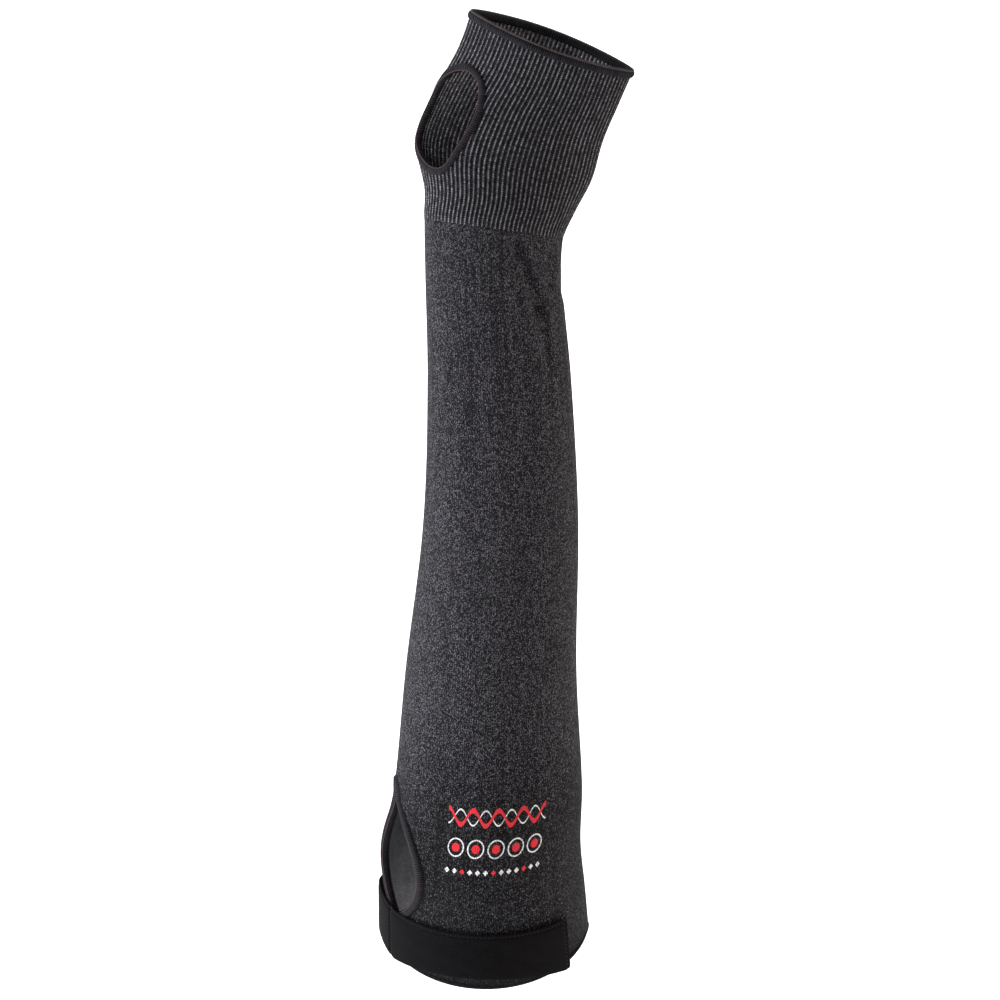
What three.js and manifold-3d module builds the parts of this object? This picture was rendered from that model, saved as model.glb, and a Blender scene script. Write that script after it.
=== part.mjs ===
// A knitted cut resistant sleeve for the right arm, standing as it sits on the arm.
// Millimetres, +Z up. The origin is the centre of the arm opening, the front of the arm faces -Y.
import * as THREE from "three";
import Module from "manifold-3d";
import { ParametricGeometry } from "three/addons/geometries/ParametricGeometry.js";
import { mergeVertices } from "three/addons/utils/BufferGeometryUtils.js";

const wasm = await Module();
wasm.setup();

// Driving sizes in millimetres
const bodyLength = 424; // arm opening to wrist, along the arm
const cuffLength = 112; // wrist to hand rim, along the arm
const hemWidth = 120;
const hemDepth = 117;
const wristWidth = 79.5;
const wristDepth = 56;
const handWidth = 96;
const handDepth = 46;
const jerseyWall = 1.4;
const ribWall = 2;
const ribRelief = 0.7; // crest to groove
const ribPitch = 2.75; // at the wrist
const bindingWidth = 5;
const bindingThickness = 4.2;
const hemEdgeWidth = 3.2;
const hemEdgeThickness = 2.8;
const seamGap = 0.45; // between a wall and the binding on its edge
const thumbHoleLength = 58;
const thumbHoleWidth = 40;
const thumbHoleBelowRim = 57; // its middle, along the cuff
const thumbHoleForward = 16.5; // its middle, round the cuff from the left side line
const slitHeight = 106; // from the hem to the top of its binding
const slitOpenHeight = 96; // from the hem to where its two sides meet above the opening
const slitClosedHeight = 31; // from the hem to where its two sides part
const slitOpening = 43;
const slitForward = 29; // its middle at the hem, round the arm from the left side line
const slitDrift = 20; // how far its upper half drifts to the left side line
const slitLegGap = 1.2; // between the two sides of its binding under the strap
const strapWidth = 30;
const strapThickness = 1.6;
const strapRise = 6.8; // its lower edge above the hem binding at the front
const strapEndDrop = 11.5; // how much lower its lower edge lies towards both ends
const strapTopDrop = 4; // the same of its upper edge
const strapFrontReach = 114; // from the slit round the front to its loose end
const strapBackReach = 58; // from the slit back to its sewn end
const tapeLength = 24;
const tapeThickness = 1;
const layerGap = 0.35; // between the strap, its hook tape and the knit

// Sections of the body from the hem to the wrist. Lengths are shares: along, aside and back of bodyLength,
// wide of the way from wristWidth to hemWidth, deep of the way from wristDepth to hemDepth, and sag of
// hemDepth, by which the back hangs lower than the plane of the section.
const bodySections = [
  { along: 0.0, wide: 1.0, deep: 1.0, aside: 0.0, back: 0.0, slant: 23.5, lean: 0, sag: 0.265 },
  { along: 0.075, wide: 0.93, deep: 0.94, aside: -0.0025, back: -0.03, slant: 21.5, lean: 0, sag: 0.2 },
  { along: 0.15, wide: 0.866, deep: 0.84, aside: -0.006, back: -0.052, slant: 16, lean: 0, sag: 0.12 },
  { along: 0.235, wide: 0.715, deep: 0.7, aside: 0.003, back: -0.066, slant: 8, lean: 0, sag: 0.05 },
  { along: 0.4, wide: 0.458, deep: 0.48, aside: 0.0076, back: -0.074, slant: 0, lean: 0, sag: 0 },
  { along: 0.6, wide: 0.222, deep: 0.28, aside: 0.02, back: -0.07, slant: -1, lean: 0, sag: 0 },
  { along: 0.8, wide: 0.043, deep: 0.12, aside: 0.018, back: -0.06, slant: -5, lean: 2, sag: 0 },
  { along: 0.94, wide: -0.053, deep: 0.02, aside: 0.0105, back: -0.05, slant: -10, lean: 5, sag: 0 },
];

// Sections of the cuff from the wrist to the hand rim, as shares of cuffLength, handWidth and handDepth in
// the same way. Pinch is how far the ends of the section are drawn to a leaf's points.
const cuffSections = [
  { along: 0.0, wide: -0.05, deep: 0.0, aside: 0.0, back: 0.0, slant: -12, lean: 8, pinch: 0 },
  { along: 0.14, wide: 0.3, deep: 0.1, aside: 0.028, back: 0.02, slant: -10, lean: 9.5, pinch: 0.02 },
  { along: 0.35, wide: 1.26, deep: 0.4, aside: 0.052, back: 0.05, slant: -6, lean: 13, pinch: 0.08 },
  { along: 0.58, wide: 1.12, deep: 0.7, aside: 0.125, back: 0.07, slant: -2, lean: 16, pinch: 0.16 },
  { along: 0.8, wide: 0.92, deep: 0.9, aside: 0.222, back: 0.08, slant: 2, lean: 19, pinch: 0.26 },
  { along: 1.0, wide: 1.0, deep: 1.0, aside: 0.294, back: 0.07, slant: 6, lean: 20.6, pinch: 0.35 },
];

// Dents of the body as strokes from one place to another: from and to are shares of bodyLength, turnFrom and
// turnTo are shares of the girth from the front middle to the right, wide and deep are shares of wristWidth.
const creases = [
  { from: 0.985, to: 0.9, turnFrom: 0.055, turnTo: 0.12, wide: 0.05, deep: 0.022 },
  { from: 0.9, to: 0.83, turnFrom: 0.12, turnTo: 0.135, wide: 0.06, deep: 0.014 },
  { from: 0.97, to: 0.93, turnFrom: 0.17, turnTo: 0.16, wide: 0.045, deep: 0.016 },
  { from: 0.965, to: 0.925, turnFrom: 0.27, turnTo: 0.25, wide: 0.06, deep: 0.02 },
];

// Where the sag begins and is full, as the way from the front middle to the back middle
const sagStart = 0.37;
const sagEnd = 0.85;

// Rows of the body's surface, as shares of bodyLength
const bodyRows = [
  0, 0.03, 0.07, 0.11, 0.15, 0.19, 0.24, 0.3, 0.38, 0.47,
  0.57, 0.66, 0.74, 0.8, 0.85, 0.89, 0.92, 0.95, 0.975, 1,
];
const cuffRows = 5;
const bodySides = 50;
const thumbSteps = 36;
const slitSteps = 43;

const sleeveLength = bodyLength + cuffLength;
const wristAside = 0.0105 * bodyLength;
const wristBack = -0.045 * bodyLength;
const radians = THREE.MathUtils.degToRad;

// One row of numbers for each section: distance along the arm, then its columns
const sectionColumns = ["x", "y", "z", "halfWidth", "halfDepth", "slant", "lean", "pinch", "sag"];
const stations = [
  ...bodySections.map((row) => ({
    at: row.along * bodyLength,
    x: row.aside * bodyLength,
    y: row.back * bodyLength,
    halfWidth: THREE.MathUtils.lerp(wristWidth, hemWidth, row.wide) / 2,
    halfDepth: THREE.MathUtils.lerp(wristDepth, hemDepth, row.deep) / 2,
    slant: radians(row.slant),
    lean: radians(row.lean),
    pinch: 0,
    sag: row.sag * hemDepth,
  })),
  ...cuffSections.map((row) => ({
    at: bodyLength + row.along * cuffLength,
    x: wristAside + row.aside * cuffLength,
    y: wristBack + row.back * cuffLength,
    halfWidth: THREE.MathUtils.lerp(wristWidth, handWidth, row.wide) / 2,
    halfDepth: THREE.MathUtils.lerp(wristDepth, handDepth, row.deep) / 2,
    slant: radians(row.slant),
    lean: radians(row.lean),
    pinch: row.pinch,
    sag: 0,
  })),
];

// The arm's line keeps its length, so each station rises by what its sideways step leaves
stations.forEach((station, i) => {
  if (i === 0) {
    station.z = 0;
    return;
  }
  const last = stations[i - 1];
  const step = station.at - last.at;
  const sideways = Math.hypot(station.x - last.x, station.y - last.y);
  station.z = last.z + Math.sqrt(step * step - sideways * sideways);
});

const sectionTable = new THREE.CubicInterpolant(
  stations.map((station) => station.at),
  stations.flatMap((station) => sectionColumns.map((name) => station[name])),
  sectionColumns.length,
  new Float64Array(sectionColumns.length),
);

const girthSteps = 240;
const sectionCache = new Map();

// The section at a distance along the arm, with the running length of its outline
function sectionAt(distance) {
  const kept = sectionCache.get(distance);
  if (kept) return kept;
  const values = sectionTable.evaluate(distance);
  const section = {};
  sectionColumns.forEach((name, i) => {
    section[name] = values[i];
  });
  section.turn = new THREE.Matrix4().makeRotationFromEuler(
    new THREE.Euler(section.slant, section.lean, 0, "YXZ"),
  );
  section.lengths = [0];
  let last = outlinePoint(section, 0);
  for (let i = 1; i <= girthSteps; i++) {
    const next = outlinePoint(section, (2 * Math.PI * i) / girthSteps);
    section.lengths.push(section.lengths[i - 1] + next.distanceTo(last));
    last = next;
  }
  section.girth = section.lengths[girthSteps];
  sectionCache.set(distance, section);
  return section;
}

// The outline of a section in its own plane, from the front middle to the right
function outlinePoint(section, angle) {
  const draw = 1 - section.pinch * Math.sin(angle) ** 2;
  return new THREE.Vector2(
    section.halfWidth * Math.sin(angle),
    -section.halfDepth * Math.cos(angle) * draw,
  );
}

// The angle at which a share of the girth is passed
function angleAt(section, share) {
  const wanted = (share - Math.floor(share)) * section.girth;
  let low = 0;
  let high = girthSteps;
  while (high - low > 1) {
    const middle = (low + high) >> 1;
    if (section.lengths[middle] <= wanted) low = middle;
    else high = middle;
  }
  const part = (wanted - section.lengths[low]) / (section.lengths[high] - section.lengths[low]);
  return (2 * Math.PI * (low + part)) / girthSteps;
}

// How deep the creases are at a place on the body
function creaseDepth(distance, share) {
  const girth = sectionAt(distance).girth;
  let depth = 0;
  for (const crease of creases) {
    const start = new THREE.Vector2(crease.turnFrom * girth, crease.from * bodyLength);
    const end = new THREE.Vector2(crease.turnTo * girth, crease.to * bodyLength);
    const stroke = end.clone().sub(start);
    const reach = new THREE.Vector2(share * girth, distance).sub(start);
    const run = THREE.MathUtils.clamp(reach.dot(stroke) / stroke.lengthSq(), 0, 1);
    const miss = reach.sub(stroke.multiplyScalar(run)).length() / (crease.wide * wristWidth);
    depth += crease.deep * wristWidth * Math.exp(-miss * miss);
  }
  return depth;
}

// How much of the sag a place has: none at the front, all of it at the back
function sagShare(angle) {
  return THREE.MathUtils.smoothstep((1 - Math.cos(angle)) / 2, sagStart, sagEnd);
}

// A point of the sleeve: distance along the arm, share of the girth, and lift off the outer face. Below the
// hem the surface runs straight on.
function sleevePoint(distance, share, lift, target = new THREE.Vector3()) {
  if (distance < 0) {
    const edge = sleevePoint(0, share, lift);
    return edge.clone().sub(sleevePoint(-distance, share, lift, target)).add(edge);
  }
  const section = sectionAt(distance);
  const angle = angleAt(section, share);
  const spread = 1e-3;
  const flat = outlinePoint(section, angle);
  const before = outlinePoint(section, angle - spread);
  const tangent = outlinePoint(section, angle + spread).sub(before).normalize();
  const turned = share - Math.floor(share);
  const raise = lift - creaseDepth(distance, turned > 0.75 ? turned - 1 : turned);
  return target
    .set(flat.x + tangent.y * raise, flat.y - tangent.x * raise, -section.sag * sagShare(angle))
    .applyMatrix4(section.turn)
    .add(new THREE.Vector3(section.x, section.y, section.z));
}

// A closed solid from a surface that is a function of two shares
function solidOf(point, slices, stacks) {
  const surface = new ParametricGeometry((u, v, target) => point(u % 1, v % 1, target), slices, stacks);
  return solidFrom(surface);
}

// A geometry as a solid, without slivers and with its faces pointing out
function solidFrom(geometry) {
  geometry.deleteAttribute("normal");
  geometry.deleteAttribute("uv");
  const merged = mergeVertices(geometry, 1e-4);
  const corners = merged.index.array;
  const kept = [];
  for (let i = 0; i < corners.length; i += 3) {
    const [a, b, c] = corners.slice(i, i + 3);
    if (a !== b && b !== c && c !== a) kept.push(a, b, c);
  }
  const place = merged.attributes.position;
  const at = (i) => new THREE.Vector3().fromBufferAttribute(place, i);
  let volume = 0;
  for (let i = 0; i < kept.length; i += 3) {
    volume += at(kept[i]).dot(at(kept[i + 1]).cross(at(kept[i + 2])));
  }
  if (volume < 0) kept.reverse();
  return new wasm.Manifold(
    new wasm.Mesh({
      numProp: 3,
      vertProperties: new Float32Array(place.array),
      triVerts: new Uint32Array(kept),
    }),
  );
}

// A solid as a named mesh in its material
function meshOf(name, solid, material) {
  const data = solid.getMesh();
  const geometry = new THREE.BufferGeometry();
  geometry.setAttribute("position", new THREE.BufferAttribute(new Float32Array(data.vertProperties), 3));
  geometry.setIndex(new THREE.BufferAttribute(new Uint32Array(data.triVerts), 1));
  geometry.computeVertexNormals();
  const mesh = new THREE.Mesh(geometry, material);
  mesh.name = name;
  return mesh;
}

// A wall that runs round the arm: rows are distances along it, rise gives the relief at a share of the girth
function tubeWall(rows, sides, wall, rise) {
  const path = [
    ...rows.map((distance) => ({ distance, lift: 0 })),
    ...rows.toReversed().map((distance) => ({ distance, lift: -wall })),
  ];
  return solidOf(
    (u, v, target) => {
      const side = Math.round(u * sides);
      const row = path[Math.round(v * path.length) % path.length];
      return sleevePoint(row.distance, side / sides, row.lift + rise(side), target);
    },
    sides,
    path.length,
  );
}

// A point on the skin of an oval band, at a place that has a point, a way along and a way out of the knit
function bandPoint(place, turn, halfAcross, halfThick, target) {
  const across = new THREE.Vector3().crossVectors(place.way, place.out).normalize();
  return target
    .copy(place.point)
    .addScaledVector(across, halfAcross * Math.cos(turn))
    .addScaledVector(place.out, halfThick * Math.sin(turn));
}

// An oval band along a route that comes back to its start
function closedBand(route, halfAcross, halfThick) {
  return solidOf(
    (u, v, target) => {
      const place = route[Math.round(v * route.length) % route.length];
      return bandPoint(place, 2 * Math.PI * u, halfAcross, halfThick, target);
    },
    beadSides,
    route.length,
  );
}

// An oval band along an open route, closed at both ends
function cappedBand(route, halfAcross, halfThick) {
  const last = route.length + 1;
  return solidOfOpen(
    (side, step, target) => {
      const place = route[THREE.MathUtils.clamp(step - 1, 0, route.length - 1)];
      if (step === 0 || step === last) return target.copy(place.point);
      return bandPoint(place, (2 * Math.PI * side) / beadSides, halfAcross, halfThick, target);
    },
    beadSides,
    last,
  );
}

// The route through a list of places on the sleeve, each a distance along it and a share of the girth
function routeThrough(places, lift, closed) {
  const points = places.map(([distance, share]) => sleevePoint(distance, share, lift));
  const last = points.length - 1;
  return places.map(([distance, share], i) => {
    const before = closed ? points.at(i - 1) : points[Math.max(i - 1, 0)];
    const after = closed ? points[(i + 1) % points.length] : points[Math.min(i + 1, last)];
    const way = after.clone().sub(before).normalize();
    const out = sleevePoint(distance, share, lift + 1).sub(sleevePoint(distance, share, lift));
    out.addScaledVector(way, -out.dot(way)).normalize();
    return { point: points[i], way, out };
  });
}

// The share of the girth that lies an arc length forward of the left side line
function shareForward(distance, forward) {
  return 0.75 + forward / sectionAt(distance).girth;
}

// A plug through the wall inside a flat outline, which starts and ends at its lowest point. Its points from
// both ends are joined in pairs, so the plug is a ladder of rungs from the bottom to the top.
function wallCutter(outline, wall) {
  const places = placesOf(outline);
  const across = 6;
  const clear = 3;
  const rungs = (places.length - 1) / 2;
  return solidOfOpen(
    (side, rung, target) => {
      const over = side <= across;
      const run = over ? side / across : (2 * across + 1 - side) / across;
      const left = places[rung];
      const right = places[places.length - 1 - rung];
      const distance = THREE.MathUtils.lerp(left[0], right[0], run);
      const share = THREE.MathUtils.lerp(left[1], right[1], run);
      return sleevePoint(distance, share, over ? clear : -wall - clear, target);
    },
    2 * across + 2,
    rungs,
  );
}

// A closed solid from rings that start and end in a point
function solidOfOpen(point, sides, steps) {
  return solidFrom(
    new ParametricGeometry(
      (u, v, target) => point(Math.round(u * sides) % sides, Math.round(v * steps), target),
      sides,
      steps,
    ),
  );
}

// A flat outline laid on the sleeve: x is forward of the left side line, y is along the arm
function placesOf(outline) {
  return outline.map((point) => [point.y, shareForward(Math.max(point.y, 0), point.x)]);
}

// The middle line of the thumb hole's binding, from its lowest point clockwise and back
function thumbOutline(margin) {
  const middle = new THREE.Vector2(thumbHoleForward, sleeveLength - thumbHoleBelowRim);
  return Array.from({ length: thumbSteps + 1 }, (_, i) => {
    const turn = (2 * Math.PI * (i % thumbSteps)) / thumbSteps;
    const across = (thumbHoleWidth / 2 + margin) * Math.sin(turn);
    return new THREE.Vector2(-across, -(thumbHoleLength / 2 + margin) * Math.cos(turn)).add(middle);
  });
}

// Half the distance between the slit's binding lines at a height above the hem
function slitHalfOpen(height) {
  const closed = (bindingWidth + slitLegGap) / 2;
  const opened = (height - slitClosedHeight) / (slitOpenHeight - slitClosedHeight);
  const belly = Math.sin(Math.PI * THREE.MathUtils.clamp(opened, 0, 1) ** 0.87);
  const cap = THREE.MathUtils.clamp((height - slitHeight) / closed + 1, 0, 1);
  return (closed + (slitOpening / 2 - closed) * belly) * Math.sqrt(1 - cap * cap);
}

// The slit's middle at a height above the hem, forward of the left side line
function slitMiddle(height) {
  const share = Math.max(0, (2 * height) / slitHeight - 1);
  return slitForward - slitDrift * share * share;
}

// The middle line of the slit's binding, from the hem over the top and back to the hem
function slitOutline() {
  return Array.from({ length: slitSteps }, (_, i) => {
    const run = (2 * i) / (slitSteps - 1) - 1;
    const height = THREE.MathUtils.lerp(slitHeight, 1, Math.abs(run) ** 1.6);
    return new THREE.Vector2(slitMiddle(height) + Math.sign(run) * slitHalfOpen(height), height);
  });
}

// The slit's outline moved outwards by a margin and closed below the hem
function slitCut(margin) {
  const outline = slitOutline();
  const last = outline.length - 1;
  const moved = outline.map((point, i) => {
    const way = outline[Math.min(i + 1, last)].clone().sub(outline[Math.max(i - 1, 0)]).normalize();
    return new THREE.Vector2(point.x - way.y * margin, point.y + way.x * margin);
  });
  const bottom = new THREE.Vector2(slitMiddle(0), 0);
  return [bottom, ...moved, bottom];
}

const materials = {
  jersey: new THREE.MeshStandardMaterial({ color: 0x3a383b, roughness: 0.95, metalness: 0 }),
  rib: new THREE.MeshStandardMaterial({ color: 0x353438, roughness: 0.95, metalness: 0 }),
  binding: new THREE.MeshStandardMaterial({ color: 0x201f22, roughness: 0.9, metalness: 0 }),
  strap: new THREE.MeshStandardMaterial({ color: 0x19191b, roughness: 0.75, metalness: 0 }),
  hook: new THREE.MeshStandardMaterial({ color: 0x141415, roughness: 0.85, metalness: 0 }),
};

const wallMargin = bindingWidth / 2 + seamGap;
const halfBinding = bindingWidth / 2;
const halfThick = bindingThickness / 2;
const beadSides = 8;

// The body: a jersey tube between the hem binding and the rib, with the slit cut out of it
function sleeveBody() {
  const top = bodyLength - seamGap;
  const rows = bodyRows.map((row) => THREE.MathUtils.lerp(hemEdgeWidth + seamGap, top, row));
  const wall = tubeWall(rows, bodySides, jerseyWall, () => 0);
  return wall.subtract(wallCutter(slitCut(wallMargin), jerseyWall));
}

// The cuff: a rib knit tube whose grooves show on both faces, with the thumb hole cut out of it
function ribCuff() {
  const ribs = Math.round(sectionAt(bodyLength).girth / ribPitch);
  const top = sleeveLength - bindingWidth - seamGap;
  const rows = Array.from({ length: cuffRows + 1 }, (_, i) =>
    THREE.MathUtils.lerp(bodyLength, top, i / cuffRows),
  );
  const relief = (side) => (side % 2 ? -ribRelief / 2 : ribRelief / 2);
  const wall = tubeWall(rows, 2 * ribs, ribWall, relief);
  return wall.subtract(wallCutter(thumbOutline(wallMargin), ribWall));
}

// A binding round the whole section at a distance along the arm
function rimRoute(distance, wall, count) {
  const places = Array.from({ length: count }, (_, i) => [distance, i / count]);
  return routeThrough(places, -wall / 2, true);
}

// The hem binding runs from one side of the slit round the arm to the other
function hemBinding() {
  const count = 48;
  const height = hemEdgeWidth / 2;
  const clear = slitHalfOpen(0) + halfBinding + seamGap;
  const first = shareForward(height, slitForward + clear);
  const last = shareForward(height, slitForward - clear) + 1;
  const places = Array.from({ length: count }, (_, i) => [
    height,
    THREE.MathUtils.lerp(first, last, i / (count - 1)),
  ]);
  return cappedBand(routeThrough(places, -jerseyWall / 2, false), height, hemEdgeThickness / 2);
}

// A flat band round the arm between two shares of the girth, closed at both ends. Its edges are a function
// of the share of the girth.
function flatBand(first, last, edgesAt, inner, thickness, steps) {
  return solidOfOpen(
    (side, step, target) => {
      const run = THREE.MathUtils.clamp((step - 1) / steps, 0, 1);
      const share = THREE.MathUtils.lerp(first, last, run);
      const { low, high } = edgesAt(share);
      if (step === 0 || step === steps + 2) {
        return sleevePoint((low + high) / 2, share, inner + thickness / 2, target);
      }
      const outer = side === 1 || side === 2;
      return sleevePoint(side < 2 ? low : high, share, outer ? inner + thickness : inner, target);
    },
    4,
    steps + 2,
  );
}

const strapLow = strapRise + hemEdgeWidth;
const strapHigh = strapLow + strapWidth;
const strapMiddle = (strapLow + strapHigh) / 2;
const strapEnd = shareForward(strapMiddle, slitForward + strapFrontReach);
const proudOfBinding = halfThick - jerseyWall / 2 + layerGap;

// The strap's edges lie highest a little left of the front middle and drop to both sides
function strapEdges(share) {
  const highestShare = 0.985;
  const dropReach = 0.15;
  const away = Math.min(Math.abs(share - highestShare) / dropReach, 1);
  return { low: strapLow - strapEndDrop * away * away, high: strapHigh - strapTopDrop * away * away };
}

// The strap lies over the slit's bindings and round the front to its loose end
function strap() {
  const first = shareForward(strapMiddle, slitForward - strapBackReach);
  const lift = Math.max(proudOfBinding, tapeThickness + 2 * layerGap);
  return flatBand(first, strapEnd, strapEdges, lift, strapThickness, 42);
}

// The hook tape under the loose end shows a corner past it, and stays above the hem binding
function hookTape() {
  const past = 1.5;
  const inset = 2.5;
  const girth = sectionAt(strapMiddle).girth;
  const last = strapEnd + past / girth;
  const tapeEdges = (share) => {
    const { low, high } = strapEdges(share);
    return { low: Math.max(low + inset, hemEdgeWidth + layerGap), high: high - inset };
  };
  return flatBand(last - tapeLength / girth, last, tapeEdges, layerGap, tapeThickness, 8);
}

const sleeve = new THREE.Group();
const handRoute = rimRoute(sleeveLength - halfBinding, ribWall, 52);
const thumbRoute = routeThrough(placesOf(thumbOutline(0).slice(1)), -ribWall / 2, true);
const slitRoute = routeThrough(placesOf(slitOutline()), -jerseyWall / 2, false);
sleeve.add(
  meshOf("sleeve_body", sleeveBody(), materials.jersey),
  meshOf("rib_cuff", ribCuff(), materials.rib),
  meshOf("hand_binding", closedBand(handRoute, halfBinding, halfThick), materials.binding),
  meshOf("thumb_binding", closedBand(thumbRoute, halfBinding, halfThick), materials.binding),
  meshOf("slit_binding", cappedBand(slitRoute, halfBinding, halfThick), materials.binding),
  meshOf("hem_binding", hemBinding(), materials.binding),
  meshOf("strap", strap(), materials.strap),
  meshOf("hook_tape", hookTape(), materials.hook),
);

export default sleeve;
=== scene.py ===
"""A knitted cut resistant sleeve: jersey body, rib cuff, overlocked bindings and an adjusting strap."""
from math import cos, pi, radians, sin, tau

import bmesh
import bpy
import numpy as np
from bpy.props import FloatProperty, FloatVectorProperty, PointerProperty
from mathutils import Matrix, Vector


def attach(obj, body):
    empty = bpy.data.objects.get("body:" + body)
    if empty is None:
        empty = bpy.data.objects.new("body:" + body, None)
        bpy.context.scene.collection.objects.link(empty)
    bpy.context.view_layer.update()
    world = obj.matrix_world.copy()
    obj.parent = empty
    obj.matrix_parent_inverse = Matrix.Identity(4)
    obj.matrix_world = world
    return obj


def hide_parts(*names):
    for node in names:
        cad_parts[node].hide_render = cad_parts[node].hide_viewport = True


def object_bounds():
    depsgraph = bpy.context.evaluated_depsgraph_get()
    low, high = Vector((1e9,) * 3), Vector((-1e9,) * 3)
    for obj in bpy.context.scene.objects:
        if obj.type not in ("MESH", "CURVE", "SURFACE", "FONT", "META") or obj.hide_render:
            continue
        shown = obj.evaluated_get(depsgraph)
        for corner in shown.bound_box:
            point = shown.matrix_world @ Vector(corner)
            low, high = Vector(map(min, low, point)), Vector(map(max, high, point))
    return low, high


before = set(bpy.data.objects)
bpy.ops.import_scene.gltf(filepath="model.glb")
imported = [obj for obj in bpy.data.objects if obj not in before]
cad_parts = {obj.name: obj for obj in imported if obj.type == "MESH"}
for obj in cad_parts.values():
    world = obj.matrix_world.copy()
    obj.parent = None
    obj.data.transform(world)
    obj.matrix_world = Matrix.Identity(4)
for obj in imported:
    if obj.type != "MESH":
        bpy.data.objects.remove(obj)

CAD_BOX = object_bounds()

bl_info = {
    "name": "Cut resistant sleeve",
    "version": (1, 0, 0),
    "blender": (4, 5, 0),
    "location": "View3D > Sidebar > Sleeve",
    "description": "Builds a knitted arm sleeve with its bindings, strap and print",
    "category": "Add Mesh",
}

# Sections of the body from the hem to the wrist. Lengths are shares: along, aside and back of the body's
# length, wide and deep of the way from the wrist's width and depth to the hem's, sag of the hem's depth.
# Slant and lean are in degrees, and pinch draws the ends of a section to a leaf's points.
SECTION_COLUMNS = ("along", "wide", "deep", "aside", "back", "slant", "lean", "sag", "pinch")
BODY_SECTIONS = (
    (0.0, 1.0, 1.0, 0.0, 0.0, 23.5, 0, 0.265, 0),
    (0.075, 0.93, 0.94, -0.0025, -0.03, 21.5, 0, 0.2, 0),
    (0.15, 0.866, 0.84, -0.006, -0.052, 16, 0, 0.12, 0),
    (0.235, 0.715, 0.7, 0.003, -0.066, 8, 0, 0.05, 0),
    (0.4, 0.458, 0.48, 0.0076, -0.074, 0, 0, 0, 0),
    (0.6, 0.222, 0.28, 0.02, -0.07, -1, 0, 0, 0),
    (0.8, 0.043, 0.12, 0.018, -0.06, -5, 2, 0, 0),
    (0.94, -0.053, 0.02, 0.0105, -0.05, -10, 5, 0, 0),
)
# Sections of the cuff from the wrist to the hand rim, as shares of its length and of the hand's sizes
CUFF_SECTIONS = (
    (0.0, -0.05, 0.0, 0.0, 0.0, -12, 8, 0, 0),
    (0.14, 0.3, 0.1, 0.028, 0.02, -10, 9.5, 0, 0.02),
    (0.35, 1.26, 0.4, 0.052, 0.05, -6, 13, 0, 0.08),
    (0.58, 1.12, 0.7, 0.125, 0.07, -2, 16, 0, 0.16),
    (0.8, 0.92, 0.9, 0.222, 0.08, 2, 19, 0, 0.26),
    (1.0, 1.0, 1.0, 0.294, 0.07, 6, 20.6, 0, 0.35),
)
# How far the wrist's middle stands to the right and to the back, as shares of the body's length
WRIST_ASIDE = 0.0105
WRIST_BACK = -0.045

# Where the back's sag begins and is full, as the way from the front middle to the back middle
SAG_START = 0.37
SAG_END = 0.85

# Strokes of the body's dents: start and end as shares of the body's length and of the girth from the front
# middle to the right, then width and depth as shares of the wrist's width
CREASE_COLUMNS = ("start", "end", "turn_start", "turn_end", "wide", "deep")
CREASES = (
    (0.985, 0.9, 0.055, 0.12, 0.04, 0.036),
    (0.9, 0.83, 0.12, 0.135, 0.05, 0.024),
    (0.97, 0.93, 0.17, 0.16, 0.04, 0.024),
    (0.965, 0.925, 0.27, 0.25, 0.06, 0.02),
)

# Ends of the slanted fold under the wrist, from the front middle to the right and above the hem, and how
# far its shade reaches to each side
FOLD_START = (0.014, 0.422)
FOLD_END = (0.03, 0.378)
FOLD_REACH = 0.003

# Middle of the print, from the front middle to the right and above the hem, and its width in metres
PRINT_ASIDE = 0.006
PRINT_HEIGHT = 0.0865
PRINT_WIDTH = 0.058
# Marks of the print, in millimetres: heights from its middle, distances from mark to mark and half widths
WAVE_UP = 14.5
WAVE_PITCH = 14.5
WAVE_SWING = 4.0
RING_UP = -1.5
RING_PITCH = 11.6
RING_RADIUS = 4.5
DOT_RADIUS = 2.3
RHOMB_UP = -13.5
RHOMB_PITCH = 4.5
RHOMB_REACH = 1.5

# Lines of the strap, in metres: the seam from the slit's middle forward, then the pressed lines and the
# stitches from the strap's edge, its loose end and its seam
SEAM_FORWARD = -0.002
EDGE_INSET = 0.0016
END_INSET = 0.0028
SEAM_STITCH = 0.0014
# The hook tape's reach past the strap's loose end and its inset from the strap's edges
TAPE_PAST = 0.0015
TAPE_INSET = 0.0025

# Steps round each section's outline, and distances at which the girth is measured
GIRTH_STEPS = 240
GIRTH_KNOTS = 120
# Grids of the pieces: steps round and along, and steps from rib to rib
BODY_GRID = (168, 264)
RIB_STEPS = 5
CUFF_ROWS = 156
STRAP_GRID = (340, 120)
TAPE_GRID = (60, 60)
BAND_SIDES = 14
HEM_SIDES = 12
SEAM_SIDES = 6
# Added to the cuff's pattern columns on its inner face
INNER_COLUMNS = 1000

# The stage, in metres, degrees and watts
STAGE_DROP = 0.3
CAMERA_DISTANCE = 2.5
CAMERA_ELEVATION = 15
CAMERA_TARGET = (0.008, -0.015, 0.26)
METRES_PER_PIXEL = 0.000571
PICTURE_SIZE = 1000
WORLD_STRENGTH = 0.2
WHITE = (1.0, 1.0, 1.0)
LIGHTS = (
    ("left_soft_light", (-1.6, -0.35, 0.5), (0, 0, 0.26), 0.7, 1.8, 58, (0.94, 0.95, 1.0)),
    ("right_soft_light", (1.6, -0.3, 0.5), (0, 0, 0.26), 0.7, 1.8, 16, (1.0, 0.86, 0.77)),
    ("front_soft_light", (-0.5, -2.4, 0.8), (0, 0, 0.46), 0.5, 0.5, 10, WHITE),
    ("floor_light", (0, 3.6, 3.2), (0, 3.6, 0), 7, 6.5, 620, WHITE),
)


def metres(name, default, description):
    """A length in metres that a user may change."""
    return FloatProperty(name=name, description=description, default=default, unit="LENGTH", precision=5)


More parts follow.
